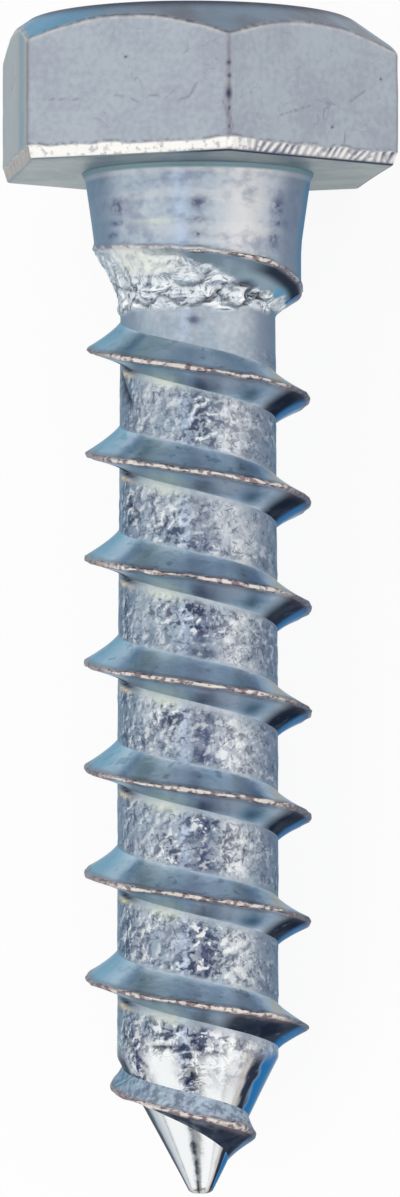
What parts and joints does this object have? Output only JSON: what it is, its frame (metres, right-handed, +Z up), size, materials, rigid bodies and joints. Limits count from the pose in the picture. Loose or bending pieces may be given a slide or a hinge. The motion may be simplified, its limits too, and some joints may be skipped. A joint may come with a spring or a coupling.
{
  "type": "lag screw",
  "caption": "Hexagon-head wood screw with a short tapered shank, a coarse left-hand thread and a blunt cone point, zinc plated.",
  "frame": {"origin": "middle of the footprint on the surface that the screw lies on; the centre of the bearing face under the head is at y 14.55 mm, z 6.30 mm", "axes": "+Z up; head towards +Y and point towards -Y. The screw's own axis lies in the YZ plane and slopes 5.2 degrees down towards the point, as the screw rests on a flat of its head and a crest of its thread."},
  "size_m": [0.0146, 0.0406, 0.0131],
  "materials": {
    "zinc_plated_steel": "bright blue-white zinc plate, with the marks of forging and thread rolling"
  },
  "bodies": {
    "root": {"lag_screw": "zinc_plated_steel"}
  },
  "joints": []
}
